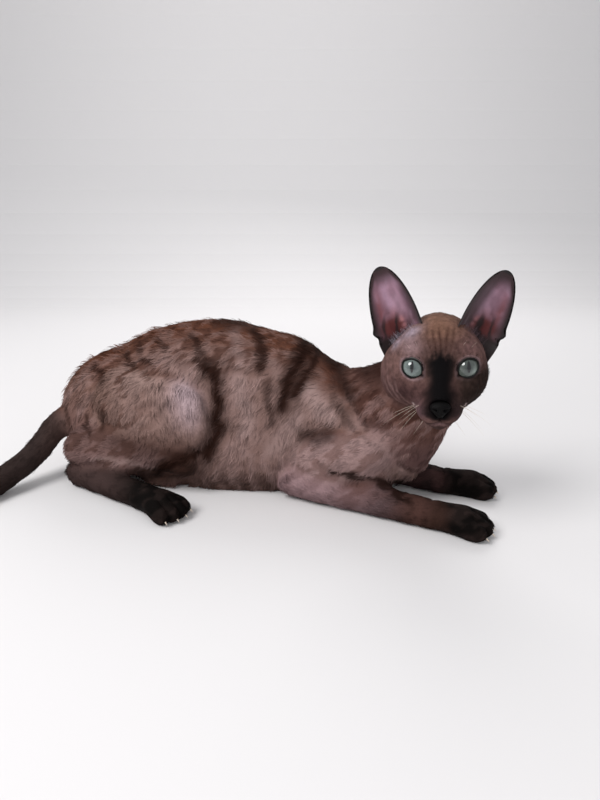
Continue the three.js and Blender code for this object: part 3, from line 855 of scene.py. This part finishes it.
ear_frames = {}
for name, side in sides.items():
    shell = bmesh.new()
    bmesh.ops.create_uvsphere(shell, u_segments=96, v_segments=72, radius=1)
    unit = np.array([v.co[:] for v in shell.verts])
    t = 0.2 + 0.8 * unit[:, 2]
    turned = np.arctan2(unit[:, 0], unit[:, 1])
    for v, q in zip(shell.verts, ear_place(side, ear_cut[name], t, turned)):
        v.co = q
    ear_mesh = formed(shell, "ear_" + name + "_skin")
    front = ramp(np.sin(turned), 0.02, 0.25)
    medial = -np.cos(turned)
    colour = layered(len(t), [(74, 54, 50, 1), (38, 27, 27, ramp(t, 0.05, 0.7))])
    blotch = np.clip(1.6 * clouds(unit * (1, 1, 1.5), 0.42, 9 + side), -1, 1)
    conch = np.minimum(1, 1.5 * hump(t, 0.19, 0.17) * hump(medial, -0.3, 0.62))
    inside = layered(len(t), [
        (140, 106, 122, 1),
        (166, 132, 150, 0.9 * hump(medial, 0.1, 0.32) * hump(t, 0.42, 0.24)),
        (108, 58, 62, 0.9 * hump(medial, -0.62, 0.2) * hump(t, 0.46, 0.26)),
        (168, 112, 120, 0.6 * hump(medial, -0.1, 0.2) * hump(t, 0.33, 0.1)),
        (70, 46, 58, 0.85 * ramp(medial, 0.42, 0.7) * ramp(t, 0.14, 0.24) * ramp(0.85 - t, 0, 0.3)),
        (98, 66, 78, 0.4 * ramp(-blotch, -0.1, 0.9)),
        (158, 128, 148, 0.35 * ramp(blotch, 0.0, 0.9)),
        (84, 34, 34, conch),
        (34, 14, 16, conch * ramp(np.sin(13 * medial - 14 * t + 1.5 * blotch), 0.0, 0.8)),
        (30, 18, 19, ramp(0.16 - t, 0, 0.1)),
        (180, 122, 126, 0.85 * hump(medial, 0.1, 0.1) * (hump(t, 0.28, 0.035) + hump(t, 0.19, 0.025))),
        (46, 27, 30, ramp(t, 0.7, 0.93) + ramp(np.abs(medial), 0.6, 0.92) * ramp(t, 0.0, 0.2)),
        # Painted shade: the inner half of the cat's left ear is darkened inside.
        (46, 27, 29, (side > 0) * 0.8 * ramp(medial, -0.1, 0.4)),
    ])
    colour = laid(colour, inside, front)
    edge = np.maximum(ramp(np.abs(medial), 0.84, 0.98), ramp(t, 0.94, 0.98)) * ramp(t, -0.1, 0.1)
    colour = laid(colour, tone(20, 13, 14), edge)
    paint(ear_mesh, colour)
    ear = dressed(ear_mesh, ear_skin)
    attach(ear, "root")
    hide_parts("ear_" + name)

# Coat. Short soft rex hair, felted into flat waved locks that lie back from
# the nose, down the flanks and along each leg. Each lock is a closed sliver
# rooted in the hide, longest on the trunk and finest on face and feet.
bpy.context.view_layer.objects.active = hide
hide.select_set(True)
bpy.ops.object.mode_set(mode="EDIT")
bpy.ops.mesh.select_all(action="SELECT")
bpy.ops.uv.smart_project(angle_limit=math.radians(66), island_margin=0.002)
bpy.ops.object.mode_set(mode="OBJECT")
hide.data.uv_layers[0].name = "OFBake"

hide.data.calc_loop_triangles()
many = len(hide.data.loop_triangles)
corner = np.empty(many * 3, np.int32)
hide.data.loop_triangles.foreach_get("vertices", corner)
corner = corner.reshape(-1, 3)
loops = np.empty(many * 3, np.int32)
hide.data.loop_triangles.foreach_get("loops", loops)
unwrap = np.empty(len(hide.data.loops) * 2, np.float32)
hide.data.uv_layers["OFBake"].uv.foreach_get("vector", unwrap)
unwrap = unwrap.reshape(-1, 2)[loops].reshape(-1, 3, 2)
outward = normals(hide.data)

right = ramp(40 - y, -8, 8)[:, None]
tail_line = [(-208, 69, 62), (-226, 56, 52), (-246, 30, 26), (-265, -2, 14), (-290, -45, 13)]
tail_line = np.array(tail_line + [(-325, -82, 11), (-366, -100, 9), (-404, -96, 6.5)])
steps = np.linspace(0, 6.999, 60)
tail_way = (tail_line[1:] - tail_line[:-1])[steps.astype(int)]
at_step = tail_line[steps.astype(int)] + tail_way * (steps % 1)[:, None]
on_tail = kind == kinds.index("tail")
tail_lie = np.tile((-1.0, -0.5, -0.3), (len(b), 1))
tail_lie[on_tail] = tail_way[((b[on_tail, None] - at_step) ** 2).sum(2).argmin(1)]
top = on_top[:, None]
lies = {
    "torso": -np.array((0.95, -0.31, 0)) * (0.4 + 0.6 * top) + np.array((0, 0, -1.0)) * (1 - top),
    "neck": (b - (108, -48, 128)) / length_of(b - (108, -48, 128)) + (0, 0, -0.35),
    "thigh": np.array((0.12, 0, -1.0)) - np.array((0.9, 0, 0)) * ramp(-x, 110, 165)[:, None],
    "shank": np.tile((-1.0, 0.05, -0.3), (len(b), 1)),
    "upper_arm": np.tile((-0.78, 0.3, -0.5), (len(b), 1)),
    "forearm": np.tile((1.0, -0.52, -0.05), (len(b), 1)),
    "forepaw": np.tile((1.0, -0.3, -0.15), (len(b), 1)),
    "hindfoot": right * (0.8, -0.58, -0.05) + (1 - right) * (1.0, 0.1, -0.05),
    "hindpaw": right * (0.8, -0.58, -0.15) + (1 - right) * (1.0, 0.1, -0.15),
    "tail": tail_lie,
    "head": (f - (24, 0, -20)) @ facing.T,
}
lie = sum(lies[k] / length_of(lies[k]) * part[k][:, None] for k in lies)
lie = relaxed(lie, pairs, 24)
lie -= outward * (lie * outward).sum(1, keepdims=True)
lie /= length_of(lie)
sway = (0.5 - 0.4 * part["head"]) * clouds(b, 26, 5) + 0.5 * (1 - part["head"]) * clouds(b, 10, 6)
side_way = np.cross(outward, lie)
lie = lie * np.cos(sway)[:, None] + side_way * np.sin(sway)[:, None]

# For each part: the length and width of a lock and the room it has,
# in millimetres, and its lift in degrees.
locks = {
    "torso": (7.5, 0.8, 1.62, 7),
    "neck": (6.5, 0.75, 1.5, 8),
    "thigh": (7.0, 0.75, 1.5, 6),
    "shank": (6.6, 0.75, 1.5, 9),
    "upper_arm": (6.6, 0.75, 1.5, 8),
    "forearm": (6.0, 0.72, 1.45, 9),
    "forepaw": (3.0, 0.5, 1.15, 8),
    "hindfoot": (5.0, 0.65, 1.3, 10),
    "hindpaw": (3.0, 0.5, 1.15, 8),
    "tail": (5.0, 0.65, 1.4, 10),
    "head": (3.2, 0.42, 0.98, 10),
}
seat_of_nose = length_of((f - (25.5, 0, -22)) / (6.0, 7.4, 5.6))[:, 0]
on_face_only = length_of(f - (2, 0, -8))[:, 0] < 46
bare = on_face_only & ((lid < 1.06) | (seat_of_nose < 0.95) | ((mouth < 0.5) & (fz < -26)))
longer = 1 + 0.3 * part["torso"] * ramp(44 - z, 0, 26) + 0.25 * part["thigh"] * ramp(50 - z, 0, 22)
longer *= 1 - 0.4 * part["head"] * ramp(fx, 4, 16) + 0.9 * part["head"] * ramp(-fx, 20, 44)
fluff = 0.5 * part["torso"] * ramp(44 - z, 0, 26) + 0.6 * part["thigh"] * ramp(46 - z, 0, 20)
unkempt = ramp(-x, 70, 140) * ramp(z, 60, 95)
rng = np.random.default_rng(7)


def sorted_by_place(points):
    tree = KDTree(len(points))
    for i, p in enumerate(points):
        tree.insert(Vector(p), i)
    tree.balance()
    return tree


def slivers(name, root, out, way, long, wide, lift, tint, seat, bends, ruffled=0.16):
    many = len(root)
    aside = np.cross(out, way)
    phase = rng.uniform(0, 6.28, many)
    bow = rng.normal(0, 0.05, many) * long
    rings = []
    clump = 14
    chiefs = sorted_by_place(root[::clump])
    chief = np.array([chiefs.find(Vector(p))[1] for p in root]) * clump
    gather = (root[chief] - root) * 0.42
    gather -= way * (gather * way).sum(1, keepdims=True)
    tint = tint * rng.uniform(0.84, 1.12, len(root[::clump]))[chief // clump][:, None]
    swell = (0.42, 0.62, 0.42, 0.3) if bends == 4 else (0.4, 0.55, 0.3)
    for j in range(bends):
        s = j / (bends - 1)
        rise = np.sin(lift) * (1.5 * s - 0.85 * s * s)
        wave = bow * np.sin(3.6 * s + phase) * s + 0.045 * long * np.sin(5.2 * s + phase * 0.3)
        forth = long * s * np.cos(lift)
        spine = root - out * 0.0005 + way * forth[:, None] + out * (long * rise)[:, None]
        spine = spine + aside * wave[:, None] + gather * s * s
        half = (wide * swell[j] * 0.8)[:, None]
        ring = [spine - aside * half, spine + aside * half, spine + out * half * 0.6]
        rings.append(ring if s < 1 else [spine])
    points = np.concatenate([np.stack(ring, 1) for ring in rings], 1)
    lowest = body_origin[2] + 0.0002
    height = points[..., 2] - lowest
    points[..., 2] = np.where(height < 0, lowest + 0.02 * np.abs(height), points[..., 2])
    size = points.shape[1]
    faces = [(0, 2, 1)]
    for j in range(bends - 2):
        for i in range(3):
            a, c = 3 * j + i, 3 * j + (i + 1) % 3
            faces += [(a, c, c + 3), (a, c + 3, a + 3)]
    faces += [(size - 4 + i, size - 4 + (i + 1) % 3, size - 1) for i in range(3)]
    faces = np.array(faces)
    mesh = bpy.data.meshes.new(name)
    mesh.vertices.add(many * size)
    mesh.vertices.foreach_set("co", points.astype(np.float32).ravel())
    index = (faces.ravel() + size * np.arange(many)[:, None]).ravel().astype(np.int32)
    mesh.loops.add(len(index))
    mesh.loops.foreach_set("vertex_index", index)
    mesh.polygons.add(len(index) // 3)
    mesh.polygons.foreach_set("loop_start", np.arange(0, len(index), 3, dtype=np.int32))
    mesh.update(calc_edges=True)
    mesh.polygons.foreach_set("use_smooth", np.ones(len(mesh.polygons), bool))
    at = np.concatenate([np.full(3, j / (bends - 1)) for j in range(bends - 1)] + [[1.0]])
    shaded = tint[:, None, :] * (0.82 + 0.26 * at)[None, :, None]
    shaded = shaded * rng.uniform(0.88, 1.12, (many, 1, 1))
    paint(mesh, np.clip(shaded, 0, 1).reshape(-1, 3))
    patch = np.array([(0, 0), (0.003, 0), (0, 0.003)])
    spots = seat[:, None, None, :] + patch[None, None] - 0.001 + np.zeros((1, len(faces), 1, 1))
    mesh.uv_layers.new(name="OFBake").uv.foreach_set("vector", spots.astype(np.float32).ravel())
    lean = np.array([(-0.5, 0.5, 0.0)[i % 3] for i in range(size - 1)] + [0.0])
    tilt = rng.normal(0, ruffled, (many, 3))
    plush = out[:, None] + aside[:, None] * lean[:, None] + way[:, None] * 0.15 + tilt[:, None]
    plush = (plush / length_of(plush)).reshape(-1, 3).astype(np.float32)
    mesh.normals_split_custom_set_from_vertices(plush)
    piece = dressed(mesh, hair)
    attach(piece, "root")


hair, wire, here, feed = finish("rex_hair", Specular_IOR_Level=0.03)
shade = painted(wire)
fuzz = grain(wire, here, 700)
feed("Base Color", shade.times(0.8 + 0.4 * fuzz))
feed("Roughness", 0.5 + 0.3 * fuzz)

edge_a, edge_b = place[corner[:, 1]] - place[corner[:, 0]], place[corner[:, 2]] - place[corner[:, 0]]
area = 0.5 * length_of(np.cross(edge_a, edge_b))[:, 0]
kind_of_corner = kind[corner[:, 0]]
on_eye_or_nose = np.isin(kind_of_corner, [kinds.index("eye"), kinds.index("nose")])
kind_of_corner = np.where(on_eye_or_nose, kinds.index("head"), kind_of_corner)
of_hide = sorted_by_place(place)
for k, (long, wide, room, lift) in locks.items():
    mine = np.nonzero((kind_of_corner == kinds.index(k)) & ~bare[corner].any(1))[0]
    tries = int(4 * area[mine].sum() / (room / 1000) ** 2)
    picked = mine[rng.choice(len(mine), tries, p=area[mine] / area[mine].sum())]
    u, v = rng.random(tries), rng.random(tries)
    u, v = np.where(u + v > 1, 1 - u, u), np.where(u + v > 1, 1 - v, v)
    mix = np.stack([1 - u - v, u, v], 1)
    root = (place[corner[picked]] * mix[..., None]).sum(1)
    cell = np.floor(root / (room / 1000)).astype(np.int64) @ (1, 4096, 4096 * 4096)
    _, kept = np.unique(cell, return_index=True)
    lowest = (outward[corner[picked[kept], 0], 2] < -0.5) & (root[kept, 2] - body_origin[2] < 0.0015)
    kept = kept[~lowest]
    kept = kept[np.argsort(root[kept] @ (1, 0.02, 0.01))]

    def carried(values):
        return (values[corner[picked[kept]]] * mix[kept][..., None]).sum(1)

    out, way = carried(outward), carried(lie)
    out /= length_of(out)
    way -= out * (way * out).sum(1, keepdims=True)
    way /= length_of(way)
    more = carried(np.stack([longer, fluff, ripple, unkempt], 1))
    seat = (unwrap[picked[kept]] * mix[kept][..., None]).sum(1)
    size = rng.uniform(0.8, 1.2, len(kept))
    length = long / 1000 * more[:, 0] * size * (1 + 0.1 * more[:, 2])
    angle = np.radians(lift * (1 + more[:, 1] + 0.5 * more[:, 2]) + rng.normal(0, 2.0, len(kept)))
    stray = rng.random(len(kept)) < 0.05 + 0.05 * more[:, 3]
    stray &= k in ("torso", "thigh", "tail", "neck")
    angle += (0.17 + 0.16 * more[:, 3]) * stray
    length *= 1 + (0.15 + 0.2 * more[:, 3]) * stray
    midway = root[kept] + way * (0.5 * length)[:, None]
    tint = markings_and_shade[[of_hide.find(Vector(q))[1] for q in midway]]
    bends = 4 if k in ("torso", "neck", "thigh") else 3
    faces_each = 16 if bends == 4 else 10
    shares = max(1, math.ceil(len(kept) * faces_each / 180000))
    for i, group in enumerate(np.array_split(np.arange(len(kept)), shares)):
        label = f"coat_{k}_{i + 1}"
        slivers(
            label, root[kept][group], out[group], way[group], length[group], wide / 1000 * size[group],
            angle[group], tint[group], seat[group], bends
        )

# Backs of the ears, and pale wisps at their feet. Very short fur runs up the outside of each ear, and a few
# long pale hairs stand across the bottom of the cup from its inner edge.
for name, side in sides.items():
    cut = ear_cut[name]
    t = rng.uniform(0.02, 0.93, 1700)
    turned = -rng.uniform(0.05, 0.95, len(t)) * math.pi
    root = ear_place(side, cut, t, turned)
    way = ear_place(side, cut, t + 0.01, turned) - root
    way /= length_of(way)
    out = np.cross(way, ear_place(side, cut, t, turned + 0.03) - root)
    out *= np.sign((out * (ear_place(side, cut, t, turned, -1.0) - root)).sum(1, keepdims=True))
    out /= length_of(out)
    seat = np.c_[0.5 + turned / 6.6, 0.1 + 0.8 * t]
    tint = layered(len(t), [(86, 62, 56, 1), (30, 21, 20, ramp(t, 0.02, 0.6))])
    size = rng.uniform(0.8, 1.2, len(t))
    fine = np.full(len(t), 0.5 / 1000)
    slivers(
        "ear_back_" + name, root, out, way, 3.2 / 1000 * size, fine, np.radians(10 * size), tint, seat,
        3, 0.3
    )

    along_foot = rng.random(150)
    spots_there = np.c_[np.full(150, -15.0), side * (19 + 15 * along_foot), 29.5 - 16 * along_foot**1.3]
    nearest = [((f - q) ** 2).sum(1).argmin() for q in spots_there + rng.normal(0, 1.3, (150, 3))]
    root, out = place[nearest], outward[nearest]
    way = facing @ (0.25, side * 0.45, 1.0) + rng.normal(0, 0.2, (150, 3))
    way /= length_of(way)
    size = rng.uniform(0.6, 1.25, 150)
    # The wisps at the cat's left ear are painted darker, as in shade.
    tint = np.tile(tone(190, 176, 190) if side < 0 else tone(120, 98, 104), (150, 1))
    fine = 0.22 / 1000 * size
    slivers(
        "ear_wisps_" + name, root, out, way, 6.0 / 1000 * size, fine, np.radians(26 * size), tint,
        np.full((150, 2), 0.5), 4
    )

# Whiskers, brow hairs and claws. Stiff pale hairs in rows on the whisker pads
# and over each eye, and the tips of the drawn-in claws at the front of each toe.
horn, wire, here, feed = finish("horn", Roughness=0.35, Specular_IOR_Level=0.5)
streak = grain(wire, here, 260)
feed("Base Color", streak.shaded((0.3, tone(196, 176, 156)), (0.7, tone(226, 212, 198))))


def drawn_out(name, roots, ways, lengths, radii, bend, taper):
    line = bpy.data.curves.new(name, "CURVE")
    line.dimensions = "3D"
    line.bevel_depth = 0.001
    line.bevel_resolution = 1
    line.use_fill_caps = True
    along = np.linspace(0, 1, 9)[:, None]
    for root, way, long, thick in zip(roots, ways, lengths, radii):
        path = root + way / np.linalg.norm(way) * long * along + bend * long * along**2
        strand = line.splines.new("POLY")
        strand.points.add(8)
        strand.points.foreach_set("co", np.c_[path, np.ones(9)].ravel())
        strand.points.foreach_set("radius", thick * 1000 * (1.02 - along[:, 0] ** taper))
    piece = dressed(swept(line), horn)
    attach(piece, "root")


def on_hide(face_place):
    return place[((f - face_place) ** 2).sum(1).argmin()]


for name, side in sides.items():
    roots, ways, lengths = [], [], []
    for i, dot in enumerate(rows):
        row = i // 4
        if (i + row) % 2:
            continue
        roots.append(on_hide((dot[0], dot[1] * side, dot[2])) - facing @ (0.0008, 0, 0))
        aside, sag = 0.75 + 0.1 * (i % 4), -0.28 - 0.3 * row + rng.normal(0, 0.08)
        ways.append(facing @ (0.42 - 0.1 * (i % 4), side * aside, sag))
        lengths.append((13 + 3.4 * (i % 4) + rng.uniform(-2, 3)) / 1000)
    for i in range(2):
        roots.append(on_hide((-3, (15 + 4 * i) * side, 13 - i)) - facing @ (0.0008, 0, 0))
        ways.append(facing @ (0.5, side * (0.25 + 0.2 * i), 0.85))
        lengths.append((9 + 2 * i) / 1000)
    fine = [0.00009] * 6 + [0.00005] * 2
    droop = facing @ (-0.05, 0.05 * side, -0.22)
    drawn_out("whiskers_" + name, roots, ways, lengths, fine, droop, 1.5)

for name in toe_tips:
    tip, way, across = paw_frame(name)
    roots, ways = [], []
    for k in (-1.5, -0.5, 0.5, 1.5):
        toe = tip + across * k * 8.2 - way * (8 + 3.6 * (abs(k) - 0.5))
        ahead = np.array(Matrix.Rotation(math.radians(6 * k), 2)) @ way
        front = toe + ahead * 9.9
        roots.append(spot(front[0], front[1], 5.2))
        ways.append(np.array((*ahead, -0.55)))
    hook = np.array((0, 0, -0.35))
    drawn_out("claws_" + name, roots, ways, [0.0029] * 4, [0.0007] * 4, hook, 1.2)

# Studio. A plain pale floor that sweeps up behind, soft light from the upper left, and the camera where the
# photographer knelt.
ground = bmesh.new()
bmesh.ops.create_grid(ground, x_segments=1, y_segments=60, size=4)
for v in ground.verts:
    beyond = max(0.0, v.co.y - 1.2)
    bent = min(beyond, 1.2 * math.pi / 2)
    if beyond:
        v.co.y = 1.2 + 1.2 * math.sin(bent / 1.2)
        v.co.z = 1.2 * (1 - math.cos(bent / 1.2)) + beyond - bent
floor_mesh = bpy.data.meshes.new("floor")
ground.to_mesh(floor_mesh)
ground.free()
floor = linked("floor", floor_mesh)
paper = bpy.data.materials.new("paper")
paper.use_nodes = True
paper.node_tree.nodes["Principled BSDF"].inputs["Base Color"].default_value = (0.72, 0.7, 0.7, 1)
paper.node_tree.nodes["Principled BSDF"].inputs["Roughness"].default_value = 0.9
floor_mesh.materials.append(paper)


def soft_light(name, place, aim, size, watts, mirrored=True):
    lamp = bpy.data.lights.new(name, "AREA")
    lamp.shape = "DISK"
    lamp.size = size
    lamp.energy = watts
    held = linked(name, lamp)
    held.visible_glossy = mirrored
    held.location = place
    held.rotation_euler = (Vector(aim) - Vector(place)).to_track_quat("-Z", "Y").to_euler()


middle = Vector(spot(-40, 0, 70))
soft_light("key", middle + Vector((-0.95, -0.75, 1.2)), middle, 0.9, 22)
soft_light("fill", middle + Vector((0.5, -1.3, 0.8)), middle, 1.2, 5, mirrored=False)
soft_light("back", middle + Vector((0.2, 1.2, 1.1)), middle, 1.0, 8)
soft_light("sweep", Vector((0, 0.9, 1.7)), Vector((0, 2.6, 0.9)), 1.5, 9)
world = bpy.data.worlds.new("room")
world.use_nodes = True
world.node_tree.nodes["Background"].inputs["Color"].default_value = (0.85, 0.87, 0.9, 1)
world.node_tree.nodes["Background"].inputs["Strength"].default_value = 0.6
bpy.context.scene.world = world

lens = bpy.data.cameras.new("camera")
lens.sensor_fit = "VERTICAL"
lens.sensor_height = 36
lens.lens = 36 * 615 / 800
camera = linked("camera", lens)
camera.location = spot(0, -500, 235)
camera.rotation_euler = (math.radians(90 - 16.4), 0, 0)
bpy.context.scene.camera = camera
bpy.context.scene.view_settings.view_transform = "Standard"
